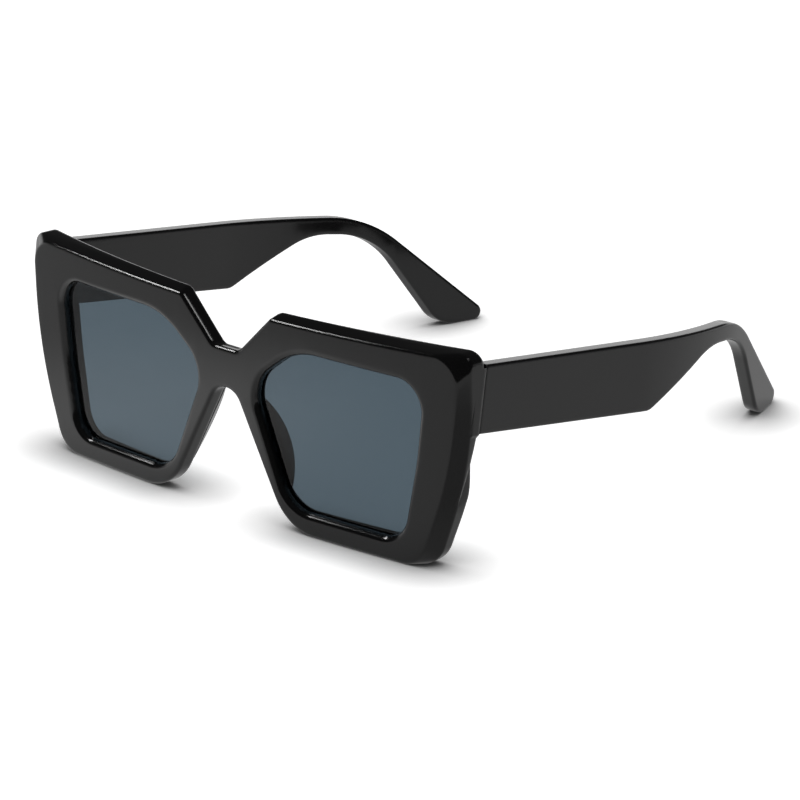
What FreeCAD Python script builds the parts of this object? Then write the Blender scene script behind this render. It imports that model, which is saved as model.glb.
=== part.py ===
import FreeCAD, Part
import math
import os

from FreeCAD import Vector

# Oversized sunglasses with an acetate front, tinted lenses and two folding temples.
# Sizes are in millimetres and angles in degrees. X runs to the wearer's left, Y to the back and Z up.
# The glasses stand on the lower edges of the rims and on the tips of the temples, at Z = 0.

# Front, seen from above
face_curve_radius = 600.0
back_curve_radius = 345.0
bridge_thickness = 4.4
half_yaw = 4.0
bevel_depth = 4.0
face_allowance = 0.5

# Front, seen from ahead: one half of the outline of its face
front_half_width = 69.6
front_height = 52.9
brow_outer_round = 8.0
brow_fall = 2.2
brow_inner_across = 14.4
brow_inner_round = 1.1
notch_depth = 9.2
bridge_half_width = 5.3
bridge_round = 1.6
bridge_height = 10.6
arch_half_width = 3.3
arch_round = 5.0
nose_foot_across = 19.9
nose_foot_round = 14.0
side_inset = 1.2
side_bend_height = 26.0
side_bend_round = 100.0
cheek_inset = 10.5
cheek_round = 8.0
brow_inner_height = front_height - brow_fall
bridge_top_height = brow_inner_height - notch_depth
arch_height = bridge_top_height - bridge_height
side_bend_across = front_half_width - side_inset
cheek_across = front_half_width - cheek_inset

# How far the bevel round the face widens the front along each side, and its corners behind the bevel
bridge_fall = 0.9
diagonal_flare = 0.4
brow_flare = 0.7
brow_lift = 0.9
side_flare = 3.8
bridge_back_round = 3.0
brow_inner_back_round = 2.8
brow_outer_back_round = 4.0

# Edges of the front
face_edge_round = 0.8
back_edge_round = 1.2
lip_round = 1.5
inner_lip_round = 0.6

# Opening in front of each lens, by the width of the rim round it
top_rim_width = 8.1
outer_rim_width = 8.9
side_rim_width = 9.7
cheek_rim_width = 4.2
low_rim_width = 5.4
nose_rim_width = 0.2
arch_rim_width = 4.8
opening_corner_drop = 7.6
opening_top_inset = 7.8
opening_top_round = 20.0
opening_outer_round = 7.0
opening_bend_round = 80.0
opening_cheek_round = 7.0
opening_nose_round = 10.0
opening_corner_round = 9.0

# Lenses and the grooves that hold them
lens_thickness = 1.4
lens_recess = 2.2
groove_depth = 0.8
groove_clearance = 0.04

# Nose pads, from the arch under the bridge down to their feet
pad_foot_height = 6.3
pad_reach = 5.2
pad_thickness = 3.4
pad_splay = 24.0
pad_round = 1.2
cement_gap = 0.05

# Temples: the plank, the ear bend and the tip, along the temple and above or below its middle line
temple_length = 140.6
temple_thickness = 4.0
temple_reach = 2.8
temple_drop = 10.0
lug_trim = 0.25
temple_tilt = 9.0
stand_lean = 1.5
butt_gap = 0.12
plank_top = 7.4
plank_low = 8.9
plank_kink_round = 5.0
kink_run = 24.5
ear_span = 18.6
ear_low = 4.4
ear_low_round = 22.0
ear_top = 9.0
ear_top_round = 32.0
ear_offset = 2.1
tail_run = 38.1
tip_width = 14.6
tip_front_round = 8.0
tip_rear_round = 2.2
bow_run = 46.0
bow_radius = 136.0
temple_edge_round = 0.6
temple_outer_across = front_half_width + temple_reach
temple_inner_across = temple_outer_across - temple_thickness
back_curve_sag = back_curve_radius - math.sqrt(back_curve_radius ** 2 - temple_inner_across ** 2)
temple_butt_depth = bridge_thickness + back_curve_sag - lug_trim
temple_butt_height = front_height - temple_drop
ear_top_along = temple_length - tail_run
ear_rear_along = ear_top_along + ear_offset
ear_front_along = ear_rear_along - ear_span
plank_kink_along = ear_front_along - kink_run
bow_end_along = ear_top_along
bow_start_along = bow_end_along - bow_run

# Wire core in each temple
core_radius = 0.65
core_start_along = 17.0
core_end_along = (ear_front_along + ear_rear_along) / 2
core_height = 6.3
core_clearance = 0.02

# Hinges
knuckle_radius = 1.5
knuckle_height = 2.9
knuckle_gap = 0.06
knuckle_clearance = 0.25
hinge_set_back = 0.9
leaf_thickness = 0.9
front_leaf_width = 5.0
front_leaf_margin = 0.25
temple_leaf_length = 12.5
temple_leaf_height = 4.4
leaf_clearance = 0.03
pin_radius = 0.7
pin_fit = 0.03
pin_head_radius = 1.25
pin_head_height = 0.7
pin_slot_width = 0.3
pin_slot_depth = 0.35
fixing_radius = 0.5
fixing_head_radius = 0.9
fixing_head_height = 0.45
fixing_length = 2.6
fixing_clearance = 0.02
fixing_spacing = 5.6

# End lugs of the front, which meet the butts of the temples
lug_length = 2.6
lug_foot = 5.0
lug_drop = 0.6

# Room that the cutting shapes have beyond what they cut, and the play in finding an edge
spare = 3.0
edge_tolerance = 0.002


def rounded_wire(corners, place):
    """Closed outline through corners given as (first, second, radius), laid out by place(first, second)."""
    count = len(corners)
    turns = []
    for index in range(count):
        here = place(*corners[index][:2])
        radius = corners[index][2]
        to_before = (place(*corners[index - 1][:2]) - here).normalize()
        to_after = (place(*corners[(index + 1) % count][:2]) - here).normalize()
        half_angle = to_before.getAngle(to_after) / 2
        reach = radius / math.tan(half_angle)
        inward = (to_before + to_after).normalize()
        middle = here + inward * (radius / math.sin(half_angle) - radius)
        turns.append((here + to_before * reach, middle, here + to_after * reach, radius))
    edges = []
    for index, (start, middle, end, radius) in enumerate(turns):
        if radius > 0:
            edges.append(Part.Arc(start, middle, end).toShape())
        edges.append(Part.LineSegment(end, turns[(index + 1) % count][0]).toShape())
    return Part.Wire(edges)


def moved_sides(corners, moves, rounds):
    """The same outline, listed clockwise, with each side moved outward and new rounds at the corners."""
    count = len(corners)
    lines = []
    for index in range(count):
        first = corners[index]
        second = corners[(index + 1) % count]
        run = second[0] - first[0]
        rise = second[1] - first[1]
        length = math.hypot(run, rise)
        normal = (-rise / length, run / length)
        lines.append((normal, first[0] * normal[0] + first[1] * normal[1] + moves[index]))
    moved = []
    for index in range(count):
        (a, b), p = lines[index - 1]
        (c, d), q = lines[index]
        det = a * d - b * c
        moved.append(((p * d - b * q) / det, (a * q - p * c) / det, rounds[index]))
    return moved


def front_place(depth):
    return lambda across, height: Vector(across, depth, height)


def set_back(shape):
    """Turns a shape drawn on a flat half of the front to its place along the base curve."""
    lead = face_curve_radius * math.tan(math.radians(half_yaw)) ** 2 / 2 + face_allowance
    shape.rotate(Vector(), Vector(0, 0, 1), half_yaw)
    shape.translate(Vector(0, -lead, 0))
    return shape


def drum(radius, front_depth):
    """Upright drum whose front stands at front_depth, to shape the base curves."""
    tall = front_height + brow_flare + 2 * spare
    return Part.makeCylinder(radius, tall, Vector(0, front_depth + radius, -spare))


def face_drum(inset=0.0):
    """Drum under the face of the front, or further in by an inset."""
    return drum(face_curve_radius - inset, inset)


def back_drum(inset=0.0):
    """Drum behind the back of the front, or further back by an inset."""
    return drum(back_curve_radius - inset, bridge_thickness + inset)


def tilted(shape):
    """Takes a shape from the temple's own lines to its place behind the lug."""
    shape.rotate(Vector(), Vector(1, 0, 0), -temple_tilt)
    shape.translate(Vector(0, temple_butt_depth, temple_butt_height))
    return shape


def stood(shape):
    """Leans the glasses back until the rims and the tips of the temples stand on level ground."""
    shape.rotate(Vector(), Vector(1, 0, 0), -stand_lean)
    return shape


def other_side(shape):
    return shape.mirror(Vector(), Vector(1, 0, 0))


def front_outline(lift=0.0):
    """Outline of the front's left half, with the inner end of the brow lifted along the diagonal."""
    return [
        (-spare, bridge_top_height, 0.0),
        (bridge_half_width, bridge_top_height, bridge_round),
        (brow_inner_across + lift, brow_inner_height + lift, brow_inner_round),
        (front_half_width, front_height, brow_outer_round),
        (side_bend_across, side_bend_height, side_bend_round),
        (cheek_across, 0.0, cheek_round),
        (nose_foot_across, 0.0, nose_foot_round),
        (arch_half_width, arch_height, arch_round),
        (-spare, arch_height, 0.0),
    ]


def front_flares():
    return [-bridge_fall, diagonal_flare, brow_flare, side_flare, side_flare, 0.0, 0.0, 0.0, 0.0]


def back_rounds():
    rounds = [radius for across, height, radius in front_outline()]
    rounds[1:4] = [bridge_back_round, brow_inner_back_round, brow_outer_back_round]
    return rounds


def opening_outline():
    top = front_height - top_rim_width
    return [
        (brow_inner_across + opening_top_inset, top, opening_top_round),
        (front_half_width - outer_rim_width, top, opening_outer_round),
        (side_bend_across - side_rim_width, side_bend_height, opening_bend_round),
        (cheek_across - cheek_rim_width, low_rim_width, opening_cheek_round),
        (nose_foot_across + nose_rim_width, low_rim_width, opening_nose_round),
        (arch_half_width + arch_rim_width, bridge_top_height - opening_corner_drop, opening_corner_round),
    ]


def opening_prism(grow):
    outline = opening_outline()
    rounds = [radius + grow for across, height, radius in outline]
    outline = moved_sides(outline, [grow] * len(outline), rounds)
    deep = temple_butt_depth + 2 * spare
    face = Part.Face(rounded_wire(outline, front_place(-spare)))
    return set_back(face.extrude(Vector(0, deep, 0)))


def lens_blank(clearance):
    """One lens, or with a clearance the groove that holds it."""
    front = lens_recess - clearance
    back = lens_recess + lens_thickness + clearance
    sheet = opening_prism(groove_depth + clearance).common(face_drum(front))
    return sheet.cut(face_drum(back))


def front_half():
    """Bevelled blank of the wearer's left half, from the middle plane to the temple's outer face."""
    face_wire = rounded_wire(front_outline(), front_place(0.0))
    wide = moved_sides(front_outline(brow_lift), front_flares(), back_rounds())
    wide_wire = rounded_wire(wide, front_place(bevel_depth))
    bevel = Part.makeLoft([face_wire, wide_wire], True, True)
    wall = Part.Face(wide_wire).extrude(Vector(0, temple_butt_depth + spare, 0))
    blank = set_back(bevel.fuse(wall))
    deep = 4 * temple_butt_depth
    half_box = Part.makeBox(temple_outer_across, deep, 2 * front_height, Vector(0, -deep / 2, -spare))
    return blank.common(half_box)


def lug():
    """End lug that carries on the line of the temple into the rim, with a foot that runs out under it."""
    top = plank_top - lug_drop
    corners = [
        Vector(temple_inner_across, -lug_length, -plank_low - lug_foot),
        Vector(temple_inner_across, -lug_length, top),
        Vector(temple_outer_across, -lug_length, top),
        Vector(temple_outer_across, -lug_length, -plank_low),
    ]
    block = Part.Face(Part.makePolygon(corners + corners[:1])).extrude(Vector(0, lug_length, 0))
    return tilted(block)


def hinge_point():
    """Middle of the hinge, on the axis of its pin."""
    across = temple_inner_across - knuckle_radius - knuckle_clearance
    return Vector(across, temple_butt_depth + hinge_set_back, temple_butt_height)


def hinge_height():
    return 3 * knuckle_height + 2 * knuckle_gap


def knuckle_levels():
    """Lower ends of the lower, middle and upper knuckle."""
    step = knuckle_height + knuckle_gap
    low = temple_butt_height - hinge_height() / 2
    return [low + step * index for index in range(3)]


def front_leaf():
    """Plate of the front leaf, before its knuckles and holes."""
    pivot = hinge_point()
    inner = pivot.x - front_leaf_width
    low = pivot.z - hinge_height() / 2
    corner = Vector(inner, front_seat_depth(), low)
    return Part.makeBox(front_leaf_width + knuckle_radius, leaf_thickness, hinge_height(), corner)


def hinge_pocket():
    """Pocket in the back of the rim that the front leaf lies in, open toward the temple."""
    pivot = hinge_point()
    inner = pivot.x - front_leaf_width - leaf_clearance
    low = pivot.z - hinge_height() / 2 - leaf_clearance
    wide = temple_inner_across - inner
    tall = hinge_height() + 2 * leaf_clearance
    return Part.makeBox(wide, temple_butt_depth, tall, Vector(inner, front_seat_depth(), low))


def mitre():
    """Room behind the lug for the butt of the temple."""
    deep = 2 * temple_butt_depth
    tall = 2 * temple_butt_height
    inner = temple_inner_across - butt_gap
    return tilted(Part.makeBox(deep, deep, tall, Vector(inner, 0, -tall / 2)))


def front_seat_depth():
    """Depth of the floor that the front leaf lies on, just under the back of the rim at its inner end."""
    inner = hinge_point().x - front_leaf_width
    back = bridge_thickness + back_curve_radius - math.sqrt(back_curve_radius ** 2 - inner ** 2)
    return back - leaf_thickness - front_leaf_margin


def front_fixing_points():
    pivot = hinge_point()
    across = pivot.x - front_leaf_width + 2 * fixing_head_radius
    depth = front_seat_depth() + leaf_thickness
    return [Vector(across, depth, pivot.z + side * fixing_spacing / 2) for side in (-1, 1)]


def temple_fixing_points():
    """Heads of the temple's fixing screws, along the temple's own lines."""
    last = temple_leaf_length - 2 * fixing_head_radius
    return [Vector(temple_inner_across, last - fixing_spacing * index, 0) for index in range(2)]


def fixing(point, inward, clearance=0.0):
    """Countersunk fixing screw, or with a clearance the hole that it fits."""
    stem = Part.makeCylinder(fixing_radius + clearance, fixing_length + clearance, point, inward)
    head = Part.makeCone(
        fixing_head_radius + clearance,
        fixing_radius + clearance,
        fixing_head_height + clearance,
        point,
        inward,
    )
    return stem.fuse(head)


def both(shape):
    return [shape, other_side(shape)]


def edges_on(shape, radius, front_depth, at_opening):
    """Edges that lie on the base curve with this radius, round the openings or round the outside."""
    openings = both(opening_prism(2 * lip_round))

    def lies_on(point):
        return abs(math.hypot(point.x, point.y - front_depth - radius) - radius) < edge_tolerance

    found = []
    for edge in shape.Edges:
        points = edge.discretize(5)
        if all(lies_on(point) for point in points):
            if at_opening == any(solid.isInside(points[2], edge_tolerance, True) for solid in openings):
                found.append(edge)
    return found


def front_blank():
    """Bevelled front with its rounded lens openings, before the lugs and the seats."""
    left = front_half()
    blank = left.fuse(other_side(left)).common(face_drum()).cut(back_drum())
    for opening in both(opening_prism(0.0)):
        blank = blank.cut(opening)
    blank = blank.removeSplitter().Solids[0]
    for radius, depth, lip, rim in (
        (face_curve_radius, 0.0, lip_round, face_edge_round),
        (back_curve_radius, bridge_thickness, inner_lip_round, back_edge_round),
    ):
        blank = blank.makeFillet(lip, edges_on(blank, radius, depth, True))
        blank = blank.makeFillet(rim, edges_on(blank, radius, depth, False))
    return blank.cut(ground())


def ground():
    """Block under the ground that the glasses stand on, in the frame of the upright front."""
    wide = 4 * front_half_width
    block = Part.makeBox(wide, wide, wide, Vector(-wide / 2, -wide / 2, -wide))
    block.rotate(Vector(), Vector(1, 0, 0), stand_lean)
    return block


def front_frame():
    frame = front_blank()
    for side in both(lug()):
        frame = frame.fuse(side)
    pivot = hinge_point()
    room = Part.makeCylinder(
        knuckle_radius + knuckle_clearance,
        hinge_height() + pin_head_height + 2 * knuckle_clearance,
        Vector(pivot.x, pivot.y, pivot.z - hinge_height() / 2 - knuckle_clearance),
    )
    cutters = [mitre(), lens_blank(groove_clearance), room, hinge_pocket()]
    for point in front_fixing_points():
        cutters.append(fixing(point, Vector(0, -1, 0), fixing_clearance))
    for cutter in cutters:
        for side in both(cutter):
            frame = frame.cut(side)
    return frame.removeSplitter()


def temple_profile():
    """Side view of a temple, along it and above its middle line; the tip is cut to stand on the ground."""

    def ground(along):
        """Height of the ground, on the temple's own lines."""
        lean = math.radians(stand_lean)
        slope = math.radians(temple_tilt + stand_lean)
        start = temple_butt_depth * math.sin(lean) - temple_butt_height * math.cos(lean)
        return (start + along * math.sin(slope)) / math.cos(slope)

    return [
        (butt_gap, -plank_low, 0.0),
        (butt_gap, plank_top, 0.0),
        (ear_top_along, ear_top, ear_top_round),
        (temple_length, ground(temple_length), tip_rear_round),
        (temple_length - tip_width, ground(temple_length - tip_width), tip_front_round),
        (ear_rear_along, ear_low, ear_low_round),
        (ear_front_along, ear_low, ear_low_round),
        (plank_kink_along, -plank_low, plank_kink_round),
    ]


def bow_point(inset, along):
    """Point of the bow seen from above, at this inset: straight, then bent inward, then straight."""
    centre = Vector(temple_outer_across - bow_radius, bow_start_along, 0)
    radius = bow_radius - inset
    if along <= bow_start_along:
        return Vector(centre.x + radius, along, 0)
    turn = math.asin((min(along, bow_end_along) - bow_start_along) / bow_radius)
    outward = Vector(math.cos(turn), math.sin(turn), 0)
    onward = Vector(-math.sin(turn), math.cos(turn), 0)
    past = max(0.0, along - bow_end_along) / math.cos(turn)
    return centre + outward * radius + onward * past


def bow_edges(inset, start, end):
    """Line of the bow seen from above, at this inset from the outer face."""
    turn = min(end, bow_end_along)
    stops = (start, bow_start_along, (bow_start_along + turn) / 2, turn)
    first, bend, middle, bent = (bow_point(inset, along) for along in stops)
    edges = [Part.LineSegment(first, bend).toShape(), Part.Arc(bend, middle, bent).toShape()]
    if end > turn:
        edges.append(Part.LineSegment(bent, bow_point(inset, end)).toShape())
    return edges


def bow_face(end):
    """Strip of the bow seen from above, one temple thick."""
    edges = bow_edges(0.0, 0.0, end) + bow_edges(temple_thickness, 0.0, end)
    for along in (0.0, end):
        ends = bow_point(0.0, along), bow_point(temple_thickness, along)
        edges.append(Part.LineSegment(*ends).toShape())
    return Part.Face(Part.Wire(Part.sortEdges(edges)[0]))


def temple_core(clearance=0.0):
    """Round wire along the middle of the bow, or with a clearance its bore."""
    start = core_start_along - clearance
    end = core_end_along + clearance
    path = Part.Wire(bow_edges(temple_thickness / 2, start, end))
    centre = path.Vertexes[0].Point
    section = Part.Wire(Part.Circle(centre, Vector(0, 1, 0), core_radius + clearance).toShape())
    core = path.makePipeShell([section], True, False)
    core.translate(Vector(0, 0, core_height))
    return core


def temple_blank():
    inner = temple_outer_across - 2 * temple_thickness - temple_length
    profile = rounded_wire(temple_profile(), lambda along, height: Vector(inner, along, height))
    slab = Part.Face(profile).extrude(Vector(temple_outer_across - inner + spare, 0, 0))
    strip = bow_face(temple_length + spare)
    strip.translate(Vector(0, 0, -2 * temple_butt_height))
    bow = strip.extrude(Vector(0, 0, 4 * temple_butt_height))
    return slab.common(bow)


def temple_leaf_plate(clearance):
    """Plate of the temple's leaf, or with a clearance the seat that it lies in."""
    return Part.makeBox(
        leaf_thickness + clearance,
        temple_leaf_length - butt_gap + clearance,
        temple_leaf_height + 2 * clearance,
        Vector(temple_inner_across, butt_gap, -temple_leaf_height / 2 - clearance),
    )


def temple():
    blank = temple_blank()
    blank = blank.makeFillet(temple_edge_round, long_edges(blank))
    cutters = [temple_core(core_clearance), temple_leaf_plate(leaf_clearance)]
    for point in temple_fixing_points():
        cutters.append(fixing(point, Vector(1, 0, 0), fixing_clearance))
    for cutter in cutters:
        blank = blank.cut(cutter)
    return tilted(blank)


def long_edges(blank):
    """Edges that run along a temple, all but those round its butt."""
    return [edge for edge in blank.Edges if edge.BoundBox.YMax > butt_gap + edge_tolerance]


def hinge_pin(clearance=0.0):
    """Screw that pins the knuckles, or with a clearance its bore."""
    pivot = hinge_point()
    foot = pivot - Vector(0, 0, hinge_height() / 2)
    stem = Part.makeCylinder(pin_radius + clearance, hinge_height(), foot)
    top = pivot + Vector(0, 0, hinge_height() / 2)
    head = Part.makeCylinder(pin_head_radius, pin_head_height, top)
    corner = top + Vector(-pin_head_radius, -pin_slot_width / 2, pin_head_height - pin_slot_depth)
    slot = Part.makeBox(2 * pin_head_radius, pin_slot_width, pin_slot_depth, corner)
    return stem.fuse(head.cut(slot))


def front_hinge():
    pivot = hinge_point()
    levels = knuckle_levels()
    leaf = front_leaf()
    floor = front_seat_depth() + leaf_thickness
    for level in (levels[0], levels[2]):
        arm = Part.makeBox(
            2 * knuckle_radius,
            pivot.y - floor,
            knuckle_height,
            Vector(pivot.x - knuckle_radius, floor, level),
        )
        knuckle = Part.makeCylinder(knuckle_radius, knuckle_height, Vector(pivot.x, pivot.y, level))
        leaf = leaf.fuse(arm).fuse(knuckle)
    for point in front_fixing_points():
        leaf = leaf.cut(fixing(point, Vector(0, -1, 0), fixing_clearance))
    return leaf.cut(hinge_pin(fixing_clearance)).removeSplitter()


def temple_hinge():
    pivot = hinge_point()
    level = knuckle_levels()[1]
    plate = temple_leaf_plate(0.0)
    for point in temple_fixing_points():
        plate = plate.cut(fixing(point, Vector(1, 0, 0), fixing_clearance))
    plate = tilted(plate)
    knuckle = Part.makeCylinder(knuckle_radius, knuckle_height, Vector(pivot.x, pivot.y, level))
    neck = Part.makeBox(
        temple_inner_across + leaf_thickness - pivot.x,
        knuckle_radius,
        knuckle_height,
        Vector(pivot.x, pivot.y, level),
    )
    return plate.fuse(neck).fuse(knuckle).cut(hinge_pin(pin_fit)).removeSplitter()


def front_hinge_screws():
    return Part.makeCompound([fixing(point, Vector(0, -1, 0)) for point in front_fixing_points()])


def temple_hinge_screws():
    screws = [fixing(point, Vector(1, 0, 0)) for point in temple_fixing_points()]
    return tilted(Part.makeCompound(screws))


def nose_pad():
    """Pad beside the nose: a rounded wedge that stands behind the rim and splays toward the cheek."""
    run = nose_foot_across - arch_half_width
    lean = math.atan2(run, arch_height)
    half = (arch_height - pad_foot_height) / 2
    chord = half / math.cos(lean)
    back = -bridge_thickness
    corners = [Vector(0, 0, chord), Vector(0, back, chord), Vector(0, back, -chord), Vector(0, 0, -chord)]
    edges = [Part.LineSegment(*pair).toShape() for pair in zip(corners, corners[1:])]
    edges.append(Part.Arc(corners[3], Vector(0, pad_reach, 0), corners[0]).toShape())
    pad = Part.Face(Part.Wire(edges)).extrude(Vector(pad_thickness, 0, 0))
    pad = pad.makeFillet(pad_round, pad.Edges)
    pad.rotate(Vector(), Vector(0, 0, 1), -pad_splay)
    pad.rotate(Vector(), Vector(0, 1, 0), -math.degrees(lean))
    across = arch_half_width + half * run / arch_height
    pad.translate(Vector(across, bridge_thickness, arch_height - half))
    return pad.common(back_drum(cement_gap))


def export(pieces):
    """Writes each piece as it stands, with the origin under the middle of the glasses."""
    standing = {name: stood(shape.copy()) for name, shape in pieces.items()}
    box = Part.makeCompound(list(standing.values())).optimalBoundingBox(False)
    middle = Vector(0, -(box.YMin + box.YMax) / 2, 0)
    os.makedirs("parts", exist_ok=True)
    for name, shape in standing.items():
        shape.translate(middle)
        shape.exportStep("parts/" + name + ".step")


def main():
    left = {
        "lens": lens_blank(0.0),
        "nose_pad": nose_pad(),
        "temple": temple(),
        "temple_core": tilted(temple_core()),
        "front_hinge": front_hinge(),
        "temple_hinge": temple_hinge(),
        "hinge_screw": hinge_pin(),
        "front_hinge_screws": front_hinge_screws(),
        "temple_hinge_screws": temple_hinge_screws(),
    }
    pieces = {"front_frame": front_frame()}
    for name, shape in left.items():
        pieces[name + "_left"] = shape
        pieces[name + "_right"] = other_side(shape)
    export(pieces)


main()
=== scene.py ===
import math

import bpy
from mathutils import Matrix, Vector


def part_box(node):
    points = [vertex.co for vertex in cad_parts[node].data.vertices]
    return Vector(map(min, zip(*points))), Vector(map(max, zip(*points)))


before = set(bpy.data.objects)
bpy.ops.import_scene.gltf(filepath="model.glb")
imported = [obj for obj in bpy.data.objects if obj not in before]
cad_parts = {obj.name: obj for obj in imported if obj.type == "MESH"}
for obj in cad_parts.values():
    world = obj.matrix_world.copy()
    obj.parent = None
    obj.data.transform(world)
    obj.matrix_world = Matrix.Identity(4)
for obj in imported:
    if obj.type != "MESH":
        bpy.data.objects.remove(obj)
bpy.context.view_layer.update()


# The front is milled from a block of black acetate and tumbled until it shines.
# Its base curve, bevelled sides and scooped rims are cut in one piece with the end lugs.
# Every solid is shown through the same smoothing, which leaves its mesh as it is.
def polishing():
    """Modifier that joins the loose triangles and shades all but the hard edges smooth."""
    weld_distance = 0.000002
    hard_edge = math.radians(32)
    group = bpy.data.node_groups.new("polishing", "GeometryNodeTree")
    group.interface.new_socket("Geometry", in_out="INPUT", socket_type="NodeSocketGeometry")
    group.interface.new_socket("Geometry", in_out="OUTPUT", socket_type="NodeSocketGeometry")
    nodes, links = group.nodes, group.links
    start = nodes.new("NodeGroupInput")
    join = nodes.new("GeometryNodeMergeByDistance")
    join.inputs["Distance"].default_value = weld_distance
    smooth = nodes.new("GeometryNodeSetShadeSmooth")
    smooth.domain = "FACE"
    angle = nodes.new("GeometryNodeInputMeshEdgeAngle")
    hard = nodes.new("FunctionNodeCompare")
    hard.data_type = "FLOAT"
    hard.operation = "GREATER_THAN"
    hard.inputs["B"].default_value = hard_edge
    crease = nodes.new("GeometryNodeSetShadeSmooth")
    crease.domain = "EDGE"
    crease.inputs["Shade Smooth"].default_value = False
    end = nodes.new("NodeGroupOutput")
    links.new(start.outputs["Geometry"], join.inputs["Geometry"])
    links.new(join.outputs["Geometry"], smooth.inputs["Geometry"])
    links.new(smooth.outputs["Geometry"], crease.inputs["Geometry"])
    links.new(angle.outputs["Unsigned Angle"], hard.inputs["A"])
    links.new(hard.outputs["Result"], crease.inputs["Selection"])
    links.new(crease.outputs["Geometry"], end.inputs["Geometry"])
    return group


smoothing = polishing()


def show(node, material):
    """Gives a solid of the frame its finish and smoothing."""
    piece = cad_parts[node]
    piece.data.materials.clear()
    piece.data.materials.append(material)
    piece.modifiers.new("polishing", "NODES").node_group = smoothing
    weighted = piece.modifiers.new("flat faces", "WEIGHTED_NORMAL")
    weighted.keep_sharp = True
    weighted.weight = 80


def handling_marks():
    """Fine scuffs, wipe marks and tumbling ripple on a polished surface."""
    group = bpy.data.node_groups.new("handling marks", "ShaderNodeTree")
    face = group.interface
    for given_value in ("Shine", "Smear"):
        face.new_socket(given_value, in_out="INPUT", socket_type="NodeSocketFloat")
    for taken_value in ("Roughness", "Ripple", "Clouds"):
        face.new_socket(taken_value, in_out="OUTPUT", socket_type="NodeSocketFloat")
    nodes, links = group.nodes, group.links
    given = nodes.new("NodeGroupInput")
    taken = nodes.new("NodeGroupOutput")
    place = nodes.new("ShaderNodeTexCoord")
    clouds = nodes.new("ShaderNodeTexNoise")
    clouds.inputs["Scale"].default_value = 55.0
    clouds.inputs["Detail"].default_value = 4.0
    links.new(place.outputs["Object"], clouds.inputs["Vector"])
    stretch = nodes.new("ShaderNodeMapping")
    stretch.inputs["Scale"].default_value = (1.0, 0.12, 1.0)
    stretch.inputs["Rotation"].default_value = (0.3, 0.15, 0.55)
    links.new(place.outputs["Object"], stretch.inputs["Vector"])
    scuffs = nodes.new("ShaderNodeTexNoise")
    scuffs.inputs["Scale"].default_value = 2600.0
    scuffs.inputs["Detail"].default_value = 2.0
    links.new(stretch.outputs["Vector"], scuffs.inputs["Vector"])
    few = nodes.new("ShaderNodeMapRange")
    few.inputs["From Min"].default_value = 0.62
    few.inputs["From Max"].default_value = 0.8
    links.new(scuffs.outputs["Fac"], few.inputs["Value"])
    both = nodes.new("ShaderNodeMath")
    both.operation = "ADD"
    links.new(clouds.outputs["Fac"], both.inputs[0])
    links.new(few.outputs["Result"], both.inputs[1])
    spread = nodes.new("ShaderNodeMath")
    spread.operation = "MULTIPLY_ADD"
    links.new(both.outputs["Value"], spread.inputs[0])
    links.new(given.outputs["Smear"], spread.inputs[1])
    links.new(given.outputs["Shine"], spread.inputs[2])
    ripple = nodes.new("ShaderNodeTexNoise")
    ripple.inputs["Scale"].default_value = 160.0
    ripple.inputs["Detail"].default_value = 1.0
    links.new(place.outputs["Object"], ripple.inputs["Vector"])
    links.new(spread.outputs["Value"], taken.inputs["Roughness"])
    links.new(ripple.outputs["Fac"], taken.inputs["Ripple"])
    links.new(clouds.outputs["Fac"], taken.inputs["Clouds"])
    return group


marks = handling_marks()


def worn_surface(nodes, shine, smear):
    """The handling marks, placed in one material with its own values."""
    worn = nodes.new("ShaderNodeGroup")
    worn.node_tree = marks
    worn.inputs["Shine"].default_value = shine
    worn.inputs["Smear"].default_value = smear
    return worn


def acetate(name, dark, pale, shine):
    """Polished acetate: a deep colour with faint clouds, and edges rounded by the tumbling."""
    finish = bpy.data.materials.new(name)
    finish.use_nodes = True
    nodes, links = finish.node_tree.nodes, finish.node_tree.links
    surface = nodes["Principled BSDF"]
    surface.inputs["IOR"].default_value = 1.49
    worn = worn_surface(nodes, shine, smear=0.035)
    depth = nodes.new("ShaderNodeMix")
    depth.data_type = "RGBA"
    depth.inputs["A"].default_value = (*dark, 1)
    depth.inputs["B"].default_value = (*pale, 1)
    links.new(worn.outputs["Clouds"], depth.inputs["Factor"])
    links.new(depth.outputs["Result"], surface.inputs["Base Color"])
    links.new(worn.outputs["Roughness"], surface.inputs["Roughness"])
    softened = nodes.new("ShaderNodeBevel")
    softened.samples = 8
    softened.inputs["Radius"].default_value = 0.001
    bump = nodes.new("ShaderNodeBump")
    bump.inputs["Strength"].default_value = 0.02
    bump.inputs["Distance"].default_value = 0.0002
    links.new(softened.outputs["Normal"], bump.inputs["Normal"])
    links.new(worn.outputs["Ripple"], bump.inputs["Height"])
    links.new(bump.outputs["Normal"], surface.inputs["Normal"])
    return finish


black_acetate = acetate(
    "black acetate", dark=(0.002, 0.002, 0.0022), pale=(0.005, 0.005, 0.0055), shine=0.085
)
show("front_frame", black_acetate)


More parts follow.
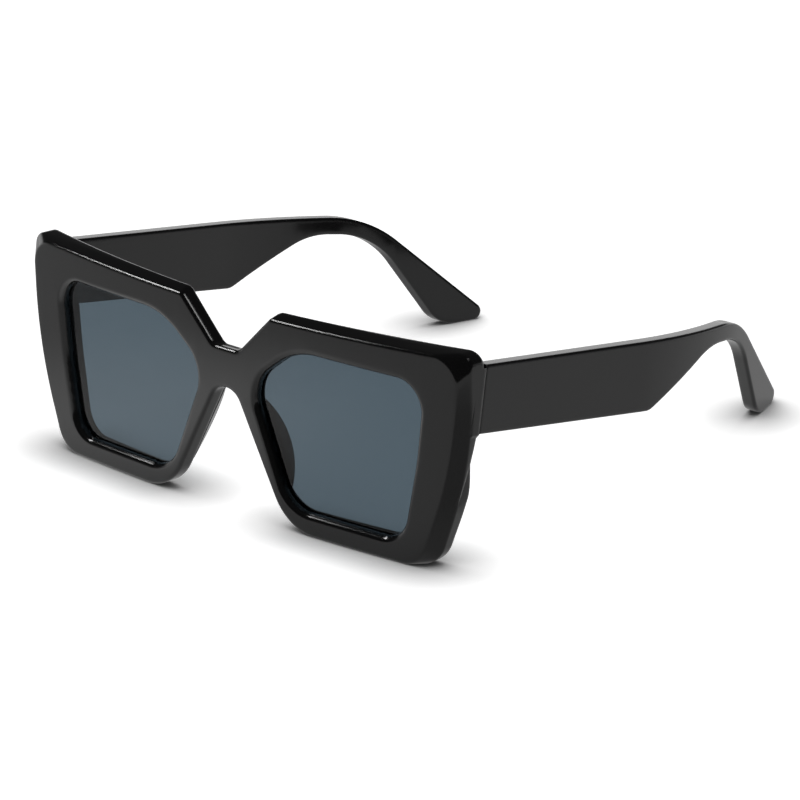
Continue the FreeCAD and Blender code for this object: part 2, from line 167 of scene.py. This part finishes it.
# The lenses are sheets of grey-blue plastic, cut to the rims and snapped into their grooves.
# The dye is a little stronger toward the brow. The faces are smooth, and coated against glare,
# which the low refractive index stands for.
def tinted_sheet():
    """Clear dyed plastic, with the dye graded from the lower edge to the upper."""
    finish = bpy.data.materials.new("tinted lens")
    finish.use_nodes = True
    nodes, links = finish.node_tree.nodes, finish.node_tree.links
    surface = nodes["Principled BSDF"]
    surface.inputs["Transmission Weight"].default_value = 1.0
    surface.inputs["IOR"].default_value = 1.3
    place = nodes.new("ShaderNodeTexCoord")
    split = nodes.new("ShaderNodeSeparateXYZ")
    links.new(place.outputs["Object"], split.inputs["Vector"])
    height = nodes.new("ShaderNodeMapRange")
    height.inputs["From Min"].default_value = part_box("lens_left")[0].z
    height.inputs["From Max"].default_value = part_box("lens_left")[1].z
    links.new(split.outputs["Z"], height.inputs["Value"])
    dye = nodes.new("ShaderNodeValToRGB")
    dye.color_ramp.elements[0].color = (0.05, 0.071, 0.087, 1)
    dye.color_ramp.elements[1].color = (0.047, 0.068, 0.084, 1)
    links.new(height.outputs["Result"], dye.inputs["Fac"])
    links.new(dye.outputs["Color"], surface.inputs["Base Color"])
    worn = worn_surface(nodes, shine=0.0, smear=0.02)
    links.new(worn.outputs["Roughness"], surface.inputs["Roughness"])
    return finish


lens_tint = tinted_sheet()
sides = ("left", "right")
for side in sides:
    show("lens_" + side, lens_tint)


# The nose pads are small acetate pads cemented to the backs of the rims and polished with them.
# They are a shade softer in shine, because they are finished by hand.
pad_acetate = acetate(
    "pad acetate", dark=(0.008, 0.008, 0.009), pale=(0.016, 0.016, 0.017), shine=0.14
)
for side in sides:
    show("nose_pad_" + side, pad_acetate)


# The hinges are stamped and barrelled from nickel silver and let into the acetate.
# Their leaves keep the fine lines of the drawing, and the screws are turned from steel.
# The front's half is held by two screws, and the screw through the knuckles is the pin.
def drawn_metal(name, colour, shine):
    """Bare metal with fine lines along its length."""
    line_shade = 0.72
    finish = bpy.data.materials.new(name)
    finish.use_nodes = True
    nodes, links = finish.node_tree.nodes, finish.node_tree.links
    surface = nodes["Principled BSDF"]
    surface.inputs["Metallic"].default_value = 1.0
    place = nodes.new("ShaderNodeTexCoord")
    lines = nodes.new("ShaderNodeMapping")
    lines.inputs["Scale"].default_value = (1.0, 0.04, 1.0)
    links.new(place.outputs["Object"], lines.inputs["Vector"])
    grain = nodes.new("ShaderNodeTexNoise")
    grain.inputs["Scale"].default_value = 5200.0
    grain.inputs["Detail"].default_value = 3.0
    links.new(lines.outputs["Vector"], grain.inputs["Vector"])
    tone = nodes.new("ShaderNodeMix")
    tone.data_type = "RGBA"
    tone.inputs["A"].default_value = (*[c * line_shade for c in colour], 1)
    tone.inputs["B"].default_value = (*colour, 1)
    links.new(grain.outputs["Fac"], tone.inputs["Factor"])
    links.new(tone.outputs["Result"], surface.inputs["Base Color"])
    worn = worn_surface(nodes, shine, smear=0.12)
    links.new(worn.outputs["Roughness"], surface.inputs["Roughness"])
    bump = nodes.new("ShaderNodeBump")
    bump.inputs["Strength"].default_value = 0.15
    bump.inputs["Distance"].default_value = 0.00005
    links.new(grain.outputs["Fac"], bump.inputs["Height"])
    links.new(bump.outputs["Normal"], surface.inputs["Normal"])
    return finish


nickel_silver = drawn_metal("nickel silver", colour=(0.62, 0.6, 0.56), shine=0.24)
screw_steel = drawn_metal("screw steel", colour=(0.56, 0.57, 0.58), shine=0.18)
for side in sides:
    show("front_hinge_" + side, nickel_silver)
    show("front_hinge_screws_" + side, screw_steel)
    show("hinge_screw_" + side, screw_steel)


# The temples are cut from the same black acetate as the front, as wide flat planks.
# They are warmed and bent inward, and down behind the ear, and their tips are left wide.
for side in sides:
    show("temple_" + side, black_acetate)


# A wire is shot into each warm temple, so that its bend holds and can be set again.
# It is nickel silver, and it lies in the middle of the plank, where it isn't seen.
for side in sides:
    show("temple_core_" + side, nickel_silver)


# The temple's half of the hinge is a leaf of the same nickel silver, with one knuckle.
# It is let into the inner face of the plank, and held by two steel screws.
for side in sides:
    show("temple_hinge_" + side, nickel_silver)
    show("temple_hinge_screws_" + side, screw_steel)


# The glasses stand on a round of white paper, which takes their shadow.
# To the eye and through the lenses the paper is lifted to white, and less so under the rims,
# where a painted shadow dims the lift.
# The shine sees it greyer, with a painted reflection: a pale glowing patch before the right rim
# and a dark patch by the left.
bpy.ops.object.select_all(action="DESELECT")
bpy.ops.mesh.primitive_circle_add(
    vertices=96, radius=0.6, fill_type="NGON", location=(0, 0, 0)
)
paper = bpy.context.object
paper.name = "paper"
white_paper = bpy.data.materials.new("white paper")
white_paper.use_nodes = True
nodes, links = white_paper.node_tree.nodes, white_paper.node_tree.links
sheet = nodes["Principled BSDF"]
sheet.inputs["Base Color"].default_value = (0.8, 0.8, 0.8, 1)
sheet.inputs["Roughness"].default_value = 0.9
sheet.inputs["Specular IOR Level"].default_value = 0.0
place = nodes.new("ShaderNodeTexCoord")


def round_patch(centre, inner, outer, near_level, far_level):
    """Level on the paper that changes with the distance from a point."""
    apart = nodes.new("ShaderNodeVectorMath")
    apart.operation = "DISTANCE"
    apart.inputs[1].default_value = centre
    links.new(place.outputs["Object"], apart.inputs[0])
    patch = nodes.new("ShaderNodeMapRange")
    patch.interpolation_type = "SMOOTHSTEP"
    patch.inputs["From Min"].default_value = inner
    patch.inputs["From Max"].default_value = outer
    patch.inputs["To Min"].default_value = near_level
    patch.inputs["To Max"].default_value = far_level
    links.new(apart.outputs["Value"], patch.inputs["Value"])
    return patch.outputs["Result"]


lift = round_patch(centre=(0, 0, 0), inner=0.1, outer=0.5, near_level=0.85, far_level=1.0)
# Painted shadow: the lift is dimmed by ambient occlusion, darkest where the paper meets the rims.
painted_shadow_occlusion = nodes.new("ShaderNodeAmbientOcclusion")
painted_shadow_occlusion.inputs["Distance"].default_value = 0.016
clear = nodes.new("ShaderNodeMath")
clear.operation = "POWER"
clear.inputs[1].default_value = 3.0
links.new(painted_shadow_occlusion.outputs["AO"], clear.inputs[0])
lift_under_painted_shadow = nodes.new("ShaderNodeMath")
lift_under_painted_shadow.operation = "MULTIPLY"
links.new(lift, lift_under_painted_shadow.inputs[0])
links.new(clear.outputs["Value"], lift_under_painted_shadow.inputs[1])
ray = nodes.new("ShaderNodeLightPath")
seen = nodes.new("ShaderNodeMath")
seen.operation = "MAXIMUM"
links.new(ray.outputs["Is Camera Ray"], seen.inputs[0])
links.new(ray.outputs["Is Transmission Ray"], seen.inputs[1])
seen_lift_under_painted_shadow = nodes.new("ShaderNodeMath")
seen_lift_under_painted_shadow.operation = "MULTIPLY"
links.new(lift_under_painted_shadow.outputs["Value"], seen_lift_under_painted_shadow.inputs[0])
links.new(seen.outputs["Value"], seen_lift_under_painted_shadow.inputs[1])
# Painted reflection: glow seen only in the shine, pale before the right rim and dark by the left.
painted_reflection_pale = round_patch(
    centre=(-0.064, -0.118, 0), inner=0.0, outer=0.09, near_level=0.95, far_level=0.27
)
painted_reflection_dark = round_patch(
    centre=(0.12, -0.1, 0), inner=0.035, outer=0.08, near_level=0.0, far_level=1.0
)
painted_reflection = nodes.new("ShaderNodeMath")
painted_reflection.operation = "MULTIPLY"
links.new(painted_reflection_pale, painted_reflection.inputs[0])
links.new(painted_reflection_dark, painted_reflection.inputs[1])
glow = nodes.new("ShaderNodeMath")
glow.operation = "MULTIPLY_ADD"
links.new(ray.outputs["Is Glossy Ray"], glow.inputs[0])
links.new(painted_reflection.outputs["Value"], glow.inputs[1])
links.new(seen_lift_under_painted_shadow.outputs["Value"], glow.inputs[2])
sheet.inputs["Emission Color"].default_value = (1, 1, 1, 1)
links.new(glow.outputs["Value"], sheet.inputs["Emission Strength"])
paper.data.materials.append(white_paper)


# The room is white to the eye and through the lenses.
# In the shine it is white only low behind the glasses, and dark above and on the
# camera's side, so that the brow reads black.
world = bpy.data.worlds.new("studio")
bpy.context.scene.world = world
world.use_nodes = True
nodes, links = world.node_tree.nodes, world.node_tree.links
aim = nodes.new("ShaderNodeTexCoord")
split = nodes.new("ShaderNodeSeparateXYZ")
links.new(aim.outputs["Generated"], split.inputs["Vector"])
low = nodes.new("ShaderNodeMapRange")
low.inputs["From Min"].default_value = 0.2
low.inputs["From Max"].default_value = 0.1
links.new(split.outputs["Z"], low.inputs["Value"])
behind = nodes.new("ShaderNodeVectorMath")
behind.operation = "DOT_PRODUCT"
behind.inputs[1].default_value = (-0.69, 0.73, 0)
links.new(aim.outputs["Generated"], behind.inputs[0])
away = nodes.new("ShaderNodeMapRange")
away.inputs["From Min"].default_value = -0.1
away.inputs["From Max"].default_value = 0.5
links.new(behind.outputs["Value"], away.inputs["Value"])
wall = nodes.new("ShaderNodeMath")
wall.operation = "MULTIPLY"
links.new(low.outputs["Result"], wall.inputs[0])
links.new(away.outputs["Result"], wall.inputs[1])
dim = nodes.new("ShaderNodeMapRange")
dim.inputs["To Min"].default_value = 0.055
links.new(wall.outputs["Value"], dim.inputs["Value"])
ray = nodes.new("ShaderNodeLightPath")
seen = nodes.new("ShaderNodeMath")
seen.operation = "MAXIMUM"
links.new(ray.outputs["Is Camera Ray"], seen.inputs[0])
links.new(ray.outputs["Is Transmission Ray"], seen.inputs[1])
level = nodes.new("ShaderNodeMath")
level.operation = "MAXIMUM"
links.new(dim.outputs["Result"], level.inputs[0])
links.new(seen.outputs["Value"], level.inputs[1])
links.new(level.outputs["Value"], nodes["Background"].inputs["Strength"])
nodes["Background"].inputs["Color"].default_value = (1, 1, 1, 1)


# A wide soft lamp overhead gives the level and the shadow, and stays out of the shine.
# A narrow lamp high on the wearer's right draws the white lines along the polished edges.
# A small one high on the left lights the corners. These two are seen only in the shine.
def soft_lamp(name, place, aim_at, width, height, power):
    """Flat lamp that faces the glasses and isn't seen itself."""
    lamp = bpy.data.lights.new(name, "AREA")
    lamp.shape = "RECTANGLE"
    lamp.size = width
    lamp.size_y = height
    lamp.energy = power
    holder = bpy.data.objects.new(name, lamp)
    bpy.context.scene.collection.objects.link(holder)
    holder.location = place
    toward = Vector(aim_at) - Vector(place)
    holder.rotation_euler = toward.to_track_quat("-Z", "Y").to_euler()
    holder.visible_camera = False
    return holder


overhead = soft_lamp(
    "overhead lamp", place=(-0.1, -0.1, 1.1), aim_at=(0, 0, 0), width=1.4, height=1.4, power=7
)
overhead.visible_glossy = False
edge = soft_lamp(
    "edge lamp", place=(-0.78, -0.36, 0.83), aim_at=(0, 0, 0.03), width=0.36, height=0.14, power=4
)
edge.visible_diffuse = False
corner = soft_lamp(
    "corner lamp", place=(0.5, 0.14, 0.98), aim_at=(0.07, -0.06, 0.04),
    width=0.25, height=0.25, power=1.5,
)
corner.visible_diffuse = False


# The camera stands ahead of the wearer's left and looks down on the front with a long lens.
# Its place is given from the origin: distance along its line of sight, then right and up.
camera_azimuth = math.radians(43.363)
camera_elevation = math.radians(20.053)
camera_roll = math.radians(-1.021)
camera_distance = 1.14965
camera_right = -0.007795
camera_up = 0.007515
camera_lens = 207.22
back = Vector((
    math.sin(camera_azimuth) * math.cos(camera_elevation),
    -math.cos(camera_azimuth) * math.cos(camera_elevation),
    math.sin(camera_elevation),
))
level_right = Vector((math.cos(camera_azimuth), math.sin(camera_azimuth), 0))
level_up = back.cross(level_right)
right = level_right * math.cos(camera_roll) + level_up * math.sin(camera_roll)
up = level_up * math.cos(camera_roll) - level_right * math.sin(camera_roll)
view = bpy.data.cameras.new("camera")
view.sensor_width = 36
view.lens = camera_lens
view.clip_start = 0.05
view.clip_end = 50
stand = bpy.data.objects.new("camera", view)
bpy.context.scene.collection.objects.link(stand)
turn = Matrix((right, up, back)).transposed().to_4x4()
turn.translation = back * camera_distance + right * camera_right + up * camera_up
stand.matrix_world = turn
bpy.context.scene.camera = stand
bpy.context.scene.view_settings.view_transform = "Standard"
